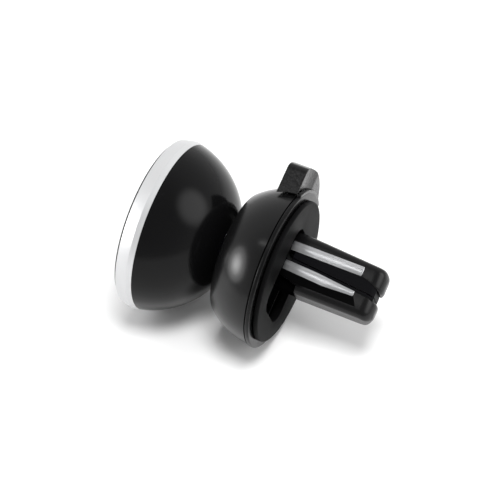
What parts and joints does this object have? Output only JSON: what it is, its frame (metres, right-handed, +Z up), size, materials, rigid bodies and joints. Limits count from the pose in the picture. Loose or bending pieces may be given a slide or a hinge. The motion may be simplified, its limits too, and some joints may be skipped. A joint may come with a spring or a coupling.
{
  "type": "car phone mount",
  "caption": "Magnetic phone mount: round magnet head on a ball joint, domed collar with a turning lever ring, and a vent clip of two jaws that the lever opens.",
  "frame": {"origin": "centre of the faceplate's rear face, the plane that bears on the air vent", "axes": "+Y runs from the head into the vent along the jaws, +Z is up towards the lever tab, +X is to the side the tab's flat flank faces"},
  "size_m": [0.041, 0.0565, 0.0432],
  "materials": {
    "silicone": "matte",
    "grip_rubber": "matte",
    "silver_aluminium": "satin anodised",
    "gloss_black": "gloss",
    "satin_black": "satin",
    "black_plastic": "matte",
    "nylon": "natural",
    "steel": "zinc plated",
    "polished_steel": "polished",
    "magnet_nickel": "nickel plated"
  },
  "bodies": {
    "collar": {"collar_housing": "gloss_black", "ball_stud": "steel", "thrust_washer": "black_plastic", "guide_plate": "black_plastic", "centre_screw": "steel", "faceplate": "satin_black", "faceplate_screws": "steel", "upper_jaw": "gloss_black", "upper_jaw_screws": "steel", "upper_jaw_inlays": "polished_steel", "upper_grip_pad": "grip_rubber"},
    "lever": {"lever_ring": "satin_black", "cam_plate": "steel", "cam_circlip": "steel"},
    "slider": {"lower_jaw": "gloss_black", "cam_pin": "steel", "lower_jaw_inlays": "polished_steel", "lower_grip_pad": "grip_rubber"},
    "liner": {"socket_liner": "nylon"},
    "ring": {"friction_ring": "nylon"},
    "head": {"head_shell": "gloss_black", "bezel_ring": "silver_aluminium", "phone_pad": "silicone", "magnet_tray": "black_plastic", "magnets": "magnet_nickel", "pole_plate": "steel", "tray_screws": "steel", "socket_cup": "black_plastic", "socket_screws": "steel", "retaining_cap": "black_plastic"}
  },
  "joints": [
    {"name": "lever_turn", "type": "hinge", "parent": "collar", "child": "lever", "pos_m": [0, 0, 0], "axis": [0, 1, 0], "range_deg": [-75, 0]},
    {"name": "jaw_slide", "type": "slide", "parent": "collar", "child": "slider", "axis": [0, 0, -1], "range_m": [0, 0.005]},
    {"name": "head_tilt_x", "type": "hinge", "parent": "collar", "child": "liner", "pos_m": [0, -0.022, 0], "axis": [1, 0, 0], "range_deg": [-18, 18]},
    {"name": "head_tilt_z", "type": "hinge", "parent": "liner", "child": "ring", "pos_m": [0, -0.022, 0], "axis": [0, 0, 1], "range_deg": [-18, 18]},
    {"name": "head_spin", "type": "hinge", "parent": "ring", "child": "head", "pos_m": [0, -0.022, 0], "axis": [0, 1, 0], "continuous": true}
  ],
  "couplings": [
    {"joint": "jaw_slide", "follows": "lever_turn", "m_per_rad": -0.0038}
  ]
}
